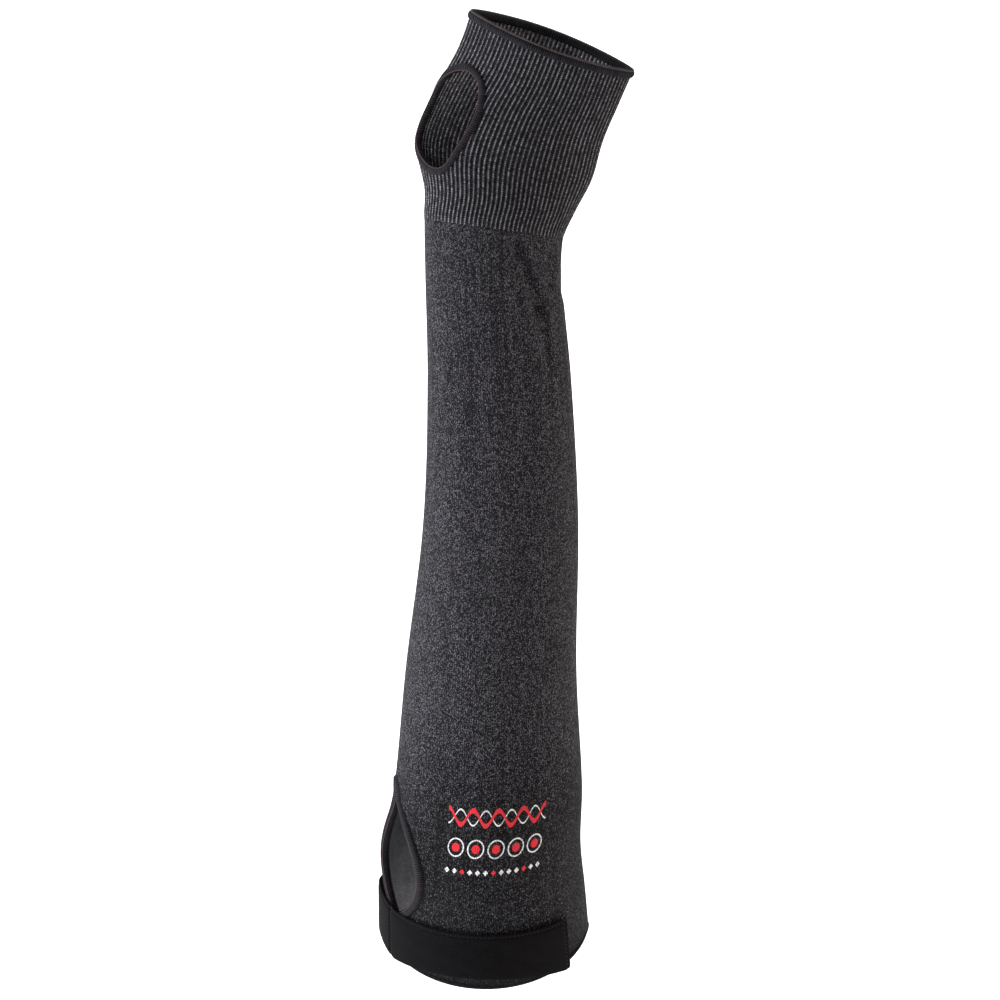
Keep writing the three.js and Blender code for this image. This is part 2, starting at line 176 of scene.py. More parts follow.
def tint(name, default, description):
    """A colour that a user may change."""
    return FloatVectorProperty(
        name=name, description=description, default=default, subtype="COLOR", size=3, min=0, max=1
    )


class SleeveSizes(bpy.types.PropertyGroup):
    """Sizes of the sleeve."""

    body_length: metres("Body length", 0.424, "Arm opening to wrist, along the arm")
    cuff_length: metres("Cuff length", 0.112, "Wrist to hand rim, along the arm")
    hem_width: metres("Hem width", 0.12, "Width of the arm opening")
    hem_depth: metres("Hem depth", 0.117, "Depth of the arm opening")
    wrist_width: metres("Wrist width", 0.0795, "Width at the wrist")
    wrist_depth: metres("Wrist depth", 0.056, "Depth at the wrist")
    hand_width: metres("Hand width", 0.096, "Width of the hand rim")
    hand_depth: metres("Hand depth", 0.046, "Depth of the hand rim")
    jersey_wall: metres("Jersey wall", 0.0014, "Thickness of the plain knit")
    rib_wall: metres("Rib wall", 0.002, "Thickness of the rib knit")
    rib_relief: metres("Rib relief", 0.0008, "Crest to groove of the rib knit")
    rib_pitch: metres("Rib pitch", 0.00248, "Distance of the ribs at the wrist")
    wale_pitch: metres("Wale pitch", 0.0013, "Distance of the jersey's stitch columns")
    course_pitch: metres("Course pitch", 0.0009, "Distance of the jersey's stitch rows")
    rib_course: metres("Rib course pitch", 0.0013, "Distance of the rib knit's stitch rows")
    binding_width: metres("Binding width", 0.005, "Width of the overlocked bindings")
    binding_thickness: metres("Binding thickness", 0.0042, "Thickness of the overlocked bindings")
    hem_edge_width: metres("Hem edge width", 0.0032, "Width of the overlock on the hem")
    hem_edge_thickness: metres("Hem edge thickness", 0.0028, "Thickness of the overlock on the hem")
    thread_pitch: metres("Thread pitch", 0.00125, "Distance of the overlock's thread wraps")
    thumb_length: metres("Thumb hole length", 0.058, "Length of the thumb hole's binding line")
    thumb_width: metres("Thumb hole width", 0.04, "Width of the thumb hole's binding line")
    thumb_below_rim: metres("Thumb hole below rim", 0.057, "Hand rim to the middle of the thumb hole")
    thumb_forward: metres("Thumb hole forward", 0.0165, "Side line to the middle of the thumb hole")
    slit_height: metres("Slit height", 0.106, "Hem to the top of the slit's binding")
    slit_open_height: metres("Slit open height", 0.096, "Hem to where the slit's sides meet")
    slit_closed_height: metres("Slit closed height", 0.031, "Hem to where the slit's sides part")
    slit_opening: metres("Slit opening", 0.043, "Widest distance of the slit's binding lines")
    slit_forward: metres("Slit forward", 0.029, "Side line to the middle of the slit at the hem")
    slit_drift: metres("Slit drift", 0.02, "How far the slit drifts to the side line")
    slit_leg_gap: metres("Slit leg gap", 0.0012, "Gap between the slit's bindings under the strap")
    strap_width: metres("Strap width", 0.03, "Width of the adjusting strap")
    strap_thickness: metres("Strap thickness", 0.0016, "Thickness of the adjusting strap")
    strap_rise: metres("Strap rise", 0.0068, "Hem binding to the strap's lower edge at the front")
    strap_end_drop: metres("Strap end drop", 0.0115, "How much lower its lower edge lies at the ends")
    strap_top_drop: metres("Strap top drop", 0.004, "How much lower its upper edge lies at the ends")
    strap_front: metres("Strap front reach", 0.114, "Slit round the front to the strap's loose end")
    strap_back: metres("Strap back reach", 0.058, "Slit back to the strap's sewn end")
    tape_length: metres("Hook tape length", 0.024, "Length of the hook tape")
    tape_thickness: metres("Hook tape thickness", 0.001, "Thickness of the hook tape")
    layer_gap: metres("Layer gap", 0.00035, "Gap between the strap, its tape and the knit")


class SleeveColours(bpy.types.PropertyGroup):
    """Colours of the sleeve."""

    knit_dark: tint("Knit dark", (0.008, 0.0077, 0.0084), "Black yarn of the knit")
    knit_light: tint("Knit light", (0.125, 0.12, 0.134), "Light fibres of the knit")
    rib_light: tint("Rib light", (0.27, 0.265, 0.29), "Light stitches of the rib knit")
    inside_light: tint("Inside light", (0.105, 0.105, 0.113), "Light yarn of the inner faces")
    binding: tint("Binding", (0.0105, 0.0102, 0.0118), "Overlock thread")
    seam_thread: tint("Seam thread", (0.07, 0.014, 0.016), "Dark red thread at the bindings' edges")
    strap: tint("Strap", (0.0037, 0.0033, 0.0037), "Smooth elastic of the strap")
    stitch: tint("Stitches", (0.035, 0.033, 0.037), "Sewing thread on the strap and the hem")
    hook: tint("Hook tape", (0.008, 0.008, 0.009), "Nylon hook tape")
    print_red: tint("Print red", (0.72, 0.03, 0.04), "Red ink of the print")
    print_white: tint("Print white", (0.78, 0.78, 0.78), "White ink of the print")
    floor: tint("Floor", (0.92, 0.92, 0.92), "Pale studio floor")


def sizes():
    return bpy.context.scene.sleeve_sizes


def colours():
    return bpy.context.scene.sleeve_colours


def blend_between(low, high, share):
    return low + (high - low) * share


def unit(vectors):
    return vectors / np.linalg.norm(vectors, axis=-1, keepdims=True)


def running_lengths(line):
    """The length of a line of points up to each of them."""
    return np.concatenate([[0], np.cumsum(np.linalg.norm(np.diff(line, axis=0), axis=1))])


def scaled(colour, factor):
    """A colour darkened or lightened by a factor."""
    return tuple(channel * factor for channel in colour)


def sleeve_length():
    return sizes().body_length + sizes().cuff_length


def station_table():
    """The distance of each section along the arm, and its own values in metres and radians."""
    size = sizes()
    knots, rows = [], []
    parts = (
        (BODY_SECTIONS, 0.0, size.body_length, size.hem_width, size.hem_depth, 0.0, 0.0),
        (CUFF_SECTIONS, size.body_length, size.cuff_length, size.hand_width, size.hand_depth,
         WRIST_ASIDE * size.body_length, WRIST_BACK * size.body_length),
    )
    for sections, start, length, width, depth, aside, back in parts:
        for row in sections:
            part = dict(zip(SECTION_COLUMNS, row))
            knots.append(start + part["along"] * length)
            rows.append([
                aside + part["aside"] * length,
                back + part["back"] * length,
                0.0,
                blend_between(size.wrist_width, width, part["wide"]) / 2,
                blend_between(size.wrist_depth, depth, part["deep"]) / 2,
                radians(part["slant"]),
                radians(part["lean"]),
                part["sag"] * size.hem_depth,
                part["pinch"],
            ])
    rows = np.array(rows)
    knots = np.array(knots)
    for i in range(1, len(knots)):
        step = knots[i] - knots[i - 1]
        sideways = np.hypot(*(rows[i, :2] - rows[i - 1, :2]))
        rows[i, 2] = rows[i - 1, 2] + np.sqrt(step * step - sideways * sideways)
    return knots, rows


class Sleeve:
    """The sleeve's outer face as a function of the distance along the arm and the share of the girth."""

    def __init__(self):
        self.knots, self.rows = station_table()
        steps = np.diff(self.knots)[:, None]
        chords = np.diff(self.rows, axis=0) / steps
        slopes = np.empty_like(self.rows)
        slopes[1:-1] = (self.rows[2:] - self.rows[:-2]) / (steps[1:] + steps[:-1])
        slopes[0] = (3 * chords[0] - slopes[1]) / 2
        slopes[-1] = (3 * chords[-1] - slopes[-2]) / 2
        self.slopes = slopes
        self.kept = {}
        self.girth_knots = None

    def section(self, distance):
        """The section's values, its running outline lengths and its turn, at one distance."""
        if distance in self.kept:
            return self.kept[distance]
        i = int(np.clip(np.searchsorted(self.knots, distance) - 1, 0, len(self.knots) - 2))
        step = self.knots[i + 1] - self.knots[i]
        t = min(max((distance - self.knots[i]) / step, 0.0), 1.0)
        values = (
            (2 * t**3 - 3 * t**2 + 1) * self.rows[i]
            + (t**3 - 2 * t**2 + t) * step * self.slopes[i]
            + (3 * t**2 - 2 * t**3) * self.rows[i + 1]
            + (t**3 - t**2) * step * self.slopes[i + 1]
        )
        angles = np.linspace(0, tau, GIRTH_STEPS + 1)
        outline = self.outline(values, angles)
        lengths = running_lengths(outline)
        turn = np.array(Matrix.Rotation(values[6], 3, "Y") @ Matrix.Rotation(values[5], 3, "X"))
        self.kept[distance] = (values, angles, lengths, turn)
        return self.kept[distance]

    def outline(self, values, angle):
        """The section's outline in its own plane, from the front middle to the right."""
        draw = 1 - values[8] * np.sin(angle) ** 2
        return np.stack([values[3] * np.sin(angle), -values[4] * np.cos(angle) * draw], axis=-1)

    def girth(self, distance):
        return self.section(distance)[2][-1]

    def girths(self, distance):
        """The girths at an array of distances."""
        if self.girth_knots is None:
            self.girth_knots = np.linspace(0, self.knots[-1], GIRTH_KNOTS)
            self.girth_values = [self.girth(float(knot)) for knot in self.girth_knots]
        return np.interp(distance, self.girth_knots, self.girth_values)

    def ring(self, distance, share, lift):
        """Points at one distance along the arm, for arrays of shares of the girth and of lifts.

        Below the hem the surface runs straight on.
        """
        if distance < 0:
            return 2 * self.ring(0.0, share, lift) - self.ring(-distance, share, lift)
        values, angles, lengths, turn = self.section(distance)
        angle = np.interp((share % 1.0) * lengths[-1], lengths, angles)
        spread = 1e-3
        flat = self.outline(values, angle)
        tangent = unit(self.outline(values, angle + spread) - self.outline(values, angle - spread))
        raised = lift - self.crease_depth(distance, share)
        behind = np.clip(((1 - np.cos(angle)) / 2 - SAG_START) / (SAG_END - SAG_START), 0, 1)
        sag = -values[7] * behind**2 * (3 - 2 * behind)
        point = np.stack([
            flat[..., 0] + tangent[..., 1] * raised,
            flat[..., 1] - tangent[..., 0] * raised,
            sag + 0 * raised,
        ], axis=-1)
        return point @ turn.T + values[:3]

    def points(self, distance, share, lift):
        """Points for arrays of the same shape of distances, shares and lifts."""
        distance, share, lift = np.broadcast_arrays(distance, share, lift)
        result = np.empty(distance.shape + (3,))
        levels, places = np.unique(distance, return_inverse=True)
        places = places.reshape(distance.shape)
        order = np.argsort(places, axis=None, kind="stable")
        ends = np.searchsorted(places.ravel()[order], np.arange(len(levels) + 1))
        flat = result.reshape(-1, 3)
        for i, level in enumerate(levels):
            mask = order[ends[i]:ends[i + 1]]
            flat[mask] = self.ring(float(level), share.ravel()[mask], lift.ravel()[mask])
        return flat.reshape(distance.shape + (3,))

    def crease_depth(self, distance, share):
        """How deep the creases are at places on the body."""
        size = sizes()
        turned = (share + 0.25) % 1.0 - 0.25
        girth = self.girth(distance)
        depth = np.zeros_like(turned)
        for row in CREASES:
            crease = dict(zip(CREASE_COLUMNS, row))
            start = np.array([crease["turn_start"] * girth, crease["start"] * size.body_length])
            stroke = np.array([crease["turn_end"] * girth, crease["end"] * size.body_length]) - start
            reach = np.stack([turned * girth, np.full_like(turned, distance)], axis=-1) - start
            run = np.clip(reach @ stroke / (stroke @ stroke), 0, 1)
            miss = np.linalg.norm(reach - run[..., None] * stroke, axis=-1)
            depth += crease["deep"] * size.wrist_width * np.exp(
                -((miss / (crease["wide"] * size.wrist_width)) ** 2)
            )
        return depth

    def share_forward(self, distance, forward):
        """The share of the girth that lies an arc length forward of the left side line."""
        return 0.75 + forward / self.girths(distance)


def slit_middle(height):
    """How far the slit's middle lies forward of the side line at heights above the hem."""
    size = sizes()
    share = np.maximum(0, 2 * height / size.slit_height - 1)
    return size.slit_forward - size.slit_drift * share**2


def slit_half_open(height):
    """Half the distance between the slit's binding lines at heights above the hem."""
    size = sizes()
    closed = (size.binding_width + size.slit_leg_gap) / 2
    opened = (height - size.slit_closed_height) / (size.slit_open_height - size.slit_closed_height)
    belly = np.sin(pi * np.clip(opened, 0, 1) ** 0.87)
    cap = np.clip((height - size.slit_height) / closed + 1, 0, 1)
    return (closed + (size.slit_opening / 2 - closed) * belly) * np.sqrt(1 - cap**2)


def slit_line(count):
    """The slit's binding line as forward and height, from the hem over the top and back to the hem."""
    size = sizes()
    run = np.linspace(-1, 1, count)
    height = blend_between(size.slit_height, 0.001, np.abs(run) ** 1.6)
    return np.stack([slit_middle(height) + np.sign(run) * slit_half_open(height), height], axis=-1)


def thumb_line(count):
    """The thumb hole's binding line as forward and distance along the arm, once round."""
    size = sizes()
    turn = np.linspace(0, tau, count, endpoint=False)
    return np.stack([
        size.thumb_forward - size.thumb_width / 2 * np.sin(turn),
        sleeve_length() - size.thumb_below_rim - size.thumb_length / 2 * np.cos(turn),
    ], axis=-1)


def level_line(distance, shares):
    """A line of shares and distances at one distance along the arm."""
    return np.stack([shares, np.full(len(shares), distance)], axis=-1)


def evenly_spaced(points, step, closed):
    """A line of points taken again at even steps of about the given length."""
    line = np.vstack([points, points[:1]]) if closed else points
    lengths = running_lengths(line)
    count = max(2, int(round(lengths[-1] / step)))
    wanted = np.linspace(0, lengths[-1], count, endpoint=not closed)
    return np.stack([np.interp(wanted, lengths, line[:, k]) for k in range(line.shape[1])], axis=-1)


def linked_object(name, data):
    made = bpy.data.objects.new(name, data)
    bpy.context.scene.collection.objects.link(made)
    return made


def new_piece(mesh, material, slot, *nodes):
    """A piece on the sleeve's body, in its material slot and in the place of its nodes. Its slot argument
    is not used.
    """
    piece = linked_object(mesh.name, mesh)
    mesh.materials.append(material)
    for face in mesh.polygons:
        face.use_smooth = True
    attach(piece, "root")
    if nodes:
        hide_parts(*nodes)
    return piece


def grid_mesh(name, columns, rows, place, wrap_columns=False, wrap_rows=False, drop=None):
    """A mesh from a grid whose points are placed by a function of two shares.

    The function gives the points and their two pattern coordinates. A wrapped side is welded to the other.
    Drop is a test on the same shares that leaves faces out.
    """
    shape = bmesh.new()
    shape.loops.layers.uv.new("pattern")
    bmesh.ops.create_grid(shape, x_segments=columns, y_segments=rows, size=0.5)
    mesh = bpy.data.meshes.new(name)
    shape.to_mesh(mesh)
    shape.free()
    flat = np.empty(len(mesh.vertices) * 3)
    mesh.vertices.foreach_get("co", flat)
    share = np.round((flat.reshape(-1, 3)[:, :2] + 0.5) * (columns, rows)) / (columns, rows)
    points, pattern = place(*share.T)
    mesh.vertices.foreach_set("co", np.ascontiguousarray(points).ravel())
    corners = np.empty(len(mesh.loops), dtype=np.int32)
    mesh.loops.foreach_get("vertex_index", corners)
    mesh.uv_layers[0].data.foreach_set("uv", np.ascontiguousarray(pattern[corners]).ravel())
    shape = bmesh.new()
    shape.from_mesh(mesh)
    if drop is not None:
        shape.verts.ensure_lookup_table()
        gone = [shape.verts[i] for i in np.flatnonzero(drop(*share.T))]
        bmesh.ops.delete(shape, geom=gone, context="VERTS")
    if wrap_columns or wrap_rows:
        rim = [vert for vert in shape.verts if vert.is_boundary]
        bmesh.ops.remove_doubles(shape, verts=rim, dist=2e-6)
    shape.to_mesh(mesh)
    shape.free()
    mesh.validate()
    return mesh


def wall_modifier(piece, thickness, lining):
    """Gives a face its thickness towards the inside of the sleeve, where it shows another material."""
    piece.data.materials.append(lining)
    wall = piece.modifiers.new("wall", "SOLIDIFY")
    wall.thickness = thickness
    wall.offset = -1
    wall.use_even_offset = False
    wall.material_offset = 1


def math_method(operation, swapped=False):
    """A method of Value that feeds a value and any others to a math node, in the other order if swapped."""

    def method(self, *others):
        values = (self, *others)
        return self.paint.node("ShaderNodeMath", {"operation": operation}, *values[::-1 if swapped else 1])

    return method


class Value:
    """A shader socket that works in expressions."""

    def __init__(self, paint, socket):
        self.paint = paint
        self.socket = socket

    __add__ = math_method("ADD")
    __sub__ = math_method("SUBTRACT")
    __mul__ = math_method("MULTIPLY")
    __truediv__ = math_method("DIVIDE")
    __pow__ = math_method("POWER")
    __radd__ = math_method("ADD", swapped=True)
    __rsub__ = math_method("SUBTRACT", swapped=True)
    __rmul__ = math_method("MULTIPLY", swapped=True)
    absolute = math_method("ABSOLUTE")
    fraction = math_method("FRACT")
    floor = math_method("FLOOR")
    cosine = math_method("COSINE")
    at_least = math_method("MAXIMUM")
    at_most = math_method("MINIMUM")

    def clamped(self):
        return self.at_most(1.0).at_least(0.0)

    def stepped(self, low, high):
        """0 under low, 1 over high and a smooth rise between them."""
        settings = {"interpolation_type": "SMOOTHSTEP"}
        return self.paint.node("ShaderNodeMapRange", settings, self, low, high, 0.0, 1.0)


class Paint:
    """A material with its nodes."""

    def __init__(self, name, **finish):
        self.material = bpy.data.materials.new(name)
        self.material.use_nodes = True
        self.tree = self.material.node_tree
        self.surface = next(n for n in self.tree.nodes if n.type == "BSDF_PRINCIPLED")
        for socket, value in finish.items():
            self.surface.inputs[socket.replace("_", " ")].default_value = value

    def feed(self, socket, value):
        if isinstance(value, Value):
            self.tree.links.new(value.socket, socket)
        elif value is not None:
            socket.default_value = value

    def node(self, kind, settings, *values, output=0, **named):
        """Any node, its settings and the values of its sockets, in order or by name."""
        made = self.tree.nodes.new(kind)
        for key, value in settings.items():
            setattr(made, key, value)
        for socket, value in zip([s for s in made.inputs if s.enabled], values):
            self.feed(socket, value)
        for key, value in named.items():
            self.feed(made.inputs[key], value)
        return Value(self, [s for s in made.outputs if s.enabled][output])

    def mix(self, share, low, high):
        """A colour between two colours."""
        ends = (value if isinstance(value, Value) else (*value, 1.0) for value in (low, high))
        return self.node("ShaderNodeMix", {"data_type": "RGBA"}, share, *ends)

    def pattern(self):
        """The two pattern coordinates of the piece."""
        uv = self.node("ShaderNodeUVMap", {"uv_map": "pattern"})
        apart = self.node("ShaderNodeSeparateXYZ", {}, uv).socket.node
        return Value(self, apart.outputs[0]), Value(self, apart.outputs[1])

    def noise(self, *where, scale=1.0, detail=2.0, roughness=0.5):
        """Smooth noise at three coordinates, or at a place."""
        if len(where) > 1:
            where = (self.node("ShaderNodeCombineXYZ", {}, *where),)
        return self.node(
            "ShaderNodeTexNoise", {}, Vector=where[0], Scale=scale, Detail=detail, Roughness=roughness
        )

    def chance(self, x, y, seed):
        """A random number, the same all over each whole cell of x and y."""
        cell = [value.floor() if isinstance(value, Value) else value for value in (x, y)]
        where = self.node("ShaderNodeCombineXYZ", {}, *cell, seed)
        return self.node("ShaderNodeTexWhiteNoise", {"noise_dimensions": "3D"}, where)

    def bump(self, height, strength, depth):
        raised = self.node("ShaderNodeBump", {}, Strength=strength, Distance=depth, Height=height)
        self.feed(self.surface.inputs["Normal"], raised)

    def finish(self, **values):
        for name, value in values.items():
            self.feed(self.surface.inputs[name.replace("_", " ")], value)
        return self.material


def yarn_paint(name, roughness, sheen, specular=0.04):
    """The dull finish of yarn."""
    return Paint(
        name, Roughness=roughness, Specular_IOR_Level=specular, Sheen_Weight=sheen, Sheen_Roughness=0.4
    )


def off_middle(value):
    """0 in the middle of each whole step of a value and 1 at its ends."""
    return (value.fraction() - 0.5).absolute() * 2.0


def stitch_share(paint, column, row, lean, seed):
    """How light each stitch is, with painted shade in the grooves between stitch columns and rows, and how
    high the yarn stands there.
    """
    inside = off_middle(column)
    slanted = row + inside * lean
    loop = 1.0 - off_middle(slanted) ** 2.0
    crown = (1.0 - inside**2.0) * loop
    chance = paint.chance(column, slanted, seed)
    fibre = paint.chance(column * 3.0, slanted * 2.0, seed + 4.0)
    # The crown factor darkens each stitch's edges as painted shade in the grooves between stitches.
    share = (fibre**7.0 * 6.2 + 0.04) * (chance * 0.4 + 0.5) * (crown * 0.8 + 0.2)
    return share, crown + fibre * 0.25


def print_mask(column, row):
    """Masks of the print's red and white ink: a braid of two waves, rings round dots, and a row of rhombs.

    The marks stand for no word, sign or maker.
    """
    size = sizes()
    along = (column * size.wale_pitch - PRINT_ASIDE) * 1000.0
    up = (row * size.course_pitch - PRINT_HEIGHT) * 1000.0

    def inside(value, half_width, blur=0.1):
        return 1.0 - value.absolute().stepped(half_width - blur, half_width + blur)

    def from_middle(pitch):
        return ((along / pitch + 0.5).fraction() - 0.5) * pitch

    block = inside(along, PRINT_WIDTH * 500.0)
    wave = (along * (tau / WAVE_PITCH)).cosine() * WAVE_SWING
    wave_up = up - WAVE_UP
    red_wave = inside(wave_up - wave, 1.3, 0.12) * block
    white_wave = inside(wave_up + wave, 0.45, 0.12) * block
    cell = from_middle(RING_PITCH)
    ring_up = up - RING_UP
    radius = (cell * cell + ring_up * ring_up) ** 0.5
    ring = inside(radius - RING_RADIUS, 0.35, 0.12) * block
    dot = inside(radius, DOT_RADIUS) * block
    rhomb_up = up - RHOMB_UP
    rhomb = inside(from_middle(RHOMB_PITCH).absolute() + rhomb_up.absolute(), RHOMB_REACH) * block
    # All rhombs but each fourth one are white
    odd = (((along / RHOMB_PITCH + 0.5).floor() * 0.25).fraction() - 0.1).stepped(0.0, 0.02)
    red = (red_wave + dot + rhomb * (1.0 - odd)).clamped()
    white = (white_wave * (1.0 - red_wave) + ring + rhomb * odd).clamped()
    return red, white


def fold_shade(column, row):
    """How much painted shade darkens the knit in the slanted fold under the wrist."""
    size = sizes()
    start, end = np.array(FOLD_START), np.array(FOLD_END)
    length = np.linalg.norm(end - start)
    way = (end - start) / length
    aside = column * size.wale_pitch - start[0]
    up = row * size.course_pitch - start[1]
    along = (aside * way[0] + up * way[1]) / length
    miss = aside * way[1] - up * way[0]
    within = along.stepped(-0.1, 0.2) * (1.0 - along.stepped(0.6, 1.3))
    return within * (1.0 - miss.absolute().stepped(0.0, FOLD_REACH))


def jersey_material():
    """Heathered jersey with a worn ink print on its front, darkened by painted shade towards the hem, at
    the hem and in the fold under the wrist.
    """
    colour = colours()
    size = sizes()
    paint = yarn_paint("jersey_knit", 0.9, 0.04)
    column, row = paint.pattern()
    share, height = stitch_share(paint, column, row, 0.7, 0.0)
    cloud = paint.noise(column * 0.11, row * 0.006, 3.0)
    # Painted shade: the knit's colour is darkened below about 0.085 to 0.165 m above the hem, where less
    # light falls on the lower sleeve.
    lower_painted_shade = row.stepped(0.085 / size.course_pitch, 0.165 / size.course_pitch)
    ground = paint.mix(lower_painted_shade, scaled(colour.knit_dark, 0.45), colour.knit_dark)
    run = paint.noise(column * 0.3, row * 0.004, 6.0, roughness=0.6)
    # Painted shade: the knit is darkened down to 0.4 in the last 30 mm above the hem.
    hem_painted_shade = row.stepped(0.0, 0.03 / size.course_pitch) * 0.6 + 0.4
    gathered = row.stepped(0.2 / size.course_pitch, 0.38 / size.course_pitch)
    drawn = paint.noise(column * 0.42, row * 0.009, 1.0, detail=1.0)
    drawn = 1.0 - drawn.stepped(0.52, 0.68) * gathered * 0.55
    # Painted shade: the fold under the wrist darkens the knit by up to 0.68.
    closed = 1.0 - fold_shade(column, row) * 0.68
    lit = share * (cloud * 0.9 + 0.5) * (run * 1.6 + 0.25) * (lower_painted_shade * 0.65 + 0.35) * hem_painted_shade
    lit = lit * drawn * closed
    yarn = paint.mix(lit.clamped(), ground, colour.knit_light)
    red, white = print_mask(column, row)
    wear = 1.0 - (share * 0.6).clamped()
    inked = paint.mix(red * wear, yarn, colour.print_red)
    inked = paint.mix(white * wear, inked, colour.print_white)
    paint.bump(height, 0.8, 0.0004)
    return paint.finish(Base_Color=inked)


def jersey_inside_material():
    """The jersey's smoother and lighter inner face."""
    colour = colours()
    paint = yarn_paint("jersey_inside", 0.9, 0.05)
    column, row = paint.pattern()
    share, height = stitch_share(paint, column, row, -0.4, 9.0)
    cloud = paint.noise(column * 0.1, row * 0.05, 8.0)
    paint.bump(height, 0.4, 0.0003)
    tone = (share * 0.5 + cloud * 0.7 + 0.08).clamped()
    return paint.finish(Base_Color=paint.mix(tone, colour.knit_dark, colour.inside_light))


def rib_material(name, light, dark, seed):
    """Rib knit: the crests carry light stitches, and the grooves and the gaps between courses are darkened
    as painted shade.
    """
    paint = yarn_paint(name, 0.92, 0.04)
    column, row = paint.pattern()
    off_crest = off_middle(column + 0.5)
    slanted = row + off_crest * 0.7
    chance = paint.chance(column + 0.5, slanted, seed)
    leg = paint.chance(column * 2.0, slanted * 2.0, seed + 4.0)
    loop = 1.0 - off_middle(slanted) ** 2.0
    crest = 1.0 - off_crest.stepped(0.0, 0.52)
    cloud = paint.noise(column * 0.12, row * 0.05, seed, detail=3.0, roughness=0.6)
    bright = (chance * 0.9 + 0.3) * (leg * 0.9 + 0.35) * (cloud * 0.6 + 0.7)
    speck = paint.chance(column * 3.0, row * 2.0, seed + 8.0)
    # Crest and loop darken the grooves between ribs and between courses as painted shade.
    share = (bright * (loop * 0.92 + 0.08) * crest + speck**3.0 * 0.09 + 0.01) * 0.95
    paint.bump(loop * 0.8 + leg * 0.2, 0.7, 0.0005)
    return paint.finish(Base_Color=paint.mix(share.clamped(), dark, light))


def binding_material(name, tone):
    """Overlock: pattern coordinates count the thread wraps and the turn round the band."""
    colour = colours()
    paint = yarn_paint(name, 0.8, 0.02, 0.05)
    wrap, turn = paint.pattern()
    ridge = 1.0 - off_middle(wrap + turn) ** 2.0
    strand = paint.noise(wrap * 6.0, turn * 14.0, 0.0, roughness=0.6)
    uneven = paint.chance(wrap, 0.0, 2.0)
    # The tops of the thread wraps are lightened as painted highlights, and the gaps between them are
    # darkened as painted shade.
    light = ridge**2.0 * (0.5 + strand * 0.8) * (uneven * 0.5 + 0.75)
    # A tone below 1 darkens the whole paint; the hem's copy at 0.5 is painted shade.
    dark, bright = (scaled(scaled(colour.binding, factor), tone) for factor in (0.15, 4.0))
    paint.bump(ridge + strand * 0.3, 0.9, 0.0005)
    return paint.finish(Base_Color=paint.mix((light * 0.75).clamped(), dark, bright))


def seam_material():
    """Dotted sewing thread: it dips under the binding between its stitches."""
    colour = colours()
    paint = Paint("seam_thread", Roughness=0.6, Specular_IOR_Level=0.4)
    wrap, turn = paint.pattern()
    stitch = off_middle(wrap).stepped(0.35, 0.75)
    ply = paint.noise(wrap * 4.0, turn * 3.0, 0.0, detail=1.0)
    tone = (stitch * 0.8 + ply * 0.2).clamped()
    paint.bump(ply, 0.3, 0.0001)
    return paint.finish(Base_Color=paint.mix(1.0 - tone, scaled(colour.binding, 0.5), colour.seam_thread))


def strap_material():
    """Smooth elastic: fine cross lines, faint lint, and dashed stitches at its seam and its loose end."""
    colour = colours()
    size = sizes()
    paint = Paint("strap_elastic", Roughness=0.8, Specular_IOR_Level=0.02)
    along, across = paint.pattern()
    ribs = (across * 900.0 * tau).cosine() * 0.5 + 0.5
    grain = paint.noise(along * 900.0, across * 2600.0, 0.0, detail=3.0, roughness=0.7)
    cloud = paint.noise(along * 60.0, across * 90.0, 0.0, detail=3.0, roughness=0.6)
    lint = paint.chance(along * 2500.0, across * 2500.0, 0.0)
    tone = (grain * 0.5 + cloud * 0.6 + lint**6.0 * 0.6 - 0.3).clamped()

    def dashes(offset, run):
        near = 1.0 - offset.absolute().stepped(0.00015, 0.0004)
        dash = ((run * 420.0).fraction() - 0.5).absolute().stepped(0.12, 0.2)
        return near * (1.0 - dash)

    seam = dashes(along - (size.strap_back + SEAM_FORWARD + SEAM_STITCH), across)
    end = dashes(along - (size.strap_back + size.strap_front - END_INSET), across)
    top = dashes(across - (size.strap_width - EDGE_INSET), along)
    stitches = (seam + end + top * 0.6).clamped()
    paint.bump(ribs * 0.3 + grain + stitches * 2.0, 0.35, 0.0002)
    roughness = 0.65 + cloud * 0.2
    elastic = paint.mix(tone, scaled(colour.strap, 0.6), scaled(colour.strap, 2.2))
    return paint.finish(Base_Color=paint.mix(stitches * 0.8, elastic, colour.stitch), Roughness=roughness)


def hook_material():
    """Nylon hooks in rows on a plain tape."""
    hook = colours().hook
    paint = Paint("hook_nylon", Roughness=0.5, Specular_IOR_Level=0.5)
    along, across = paint.pattern()
    hooks = (along * 1000.0 * tau).cosine() * (across * 700.0 * tau).cosine()
    tone = (hooks * 0.5 + 0.5).clamped()
    paint.bump(tone, 0.6, 0.0004)
    return paint.finish(Base_Color=paint.mix(tone, scaled(hook, 0.6), scaled(hook, 2)))


def soft_streaks(distance, share):
    """Faint lengthwise waves of the upper body, where the knit is drawn together."""
    size = sizes()
    height = distance / size.body_length
    near_wrist = np.clip((height - 0.45) / 0.4, 0, 1)
    turn = share * tau
    waves = np.sin(turn * 21 + 1.7 * np.sin(height * 9)) * 0.6 + np.sin(turn * 37 + 4 * height) * 0.4
    return 0.00022 * near_wrist * waves + 0.00035 * np.sin(turn * 5 + 7 * height) * (1 - near_wrist)


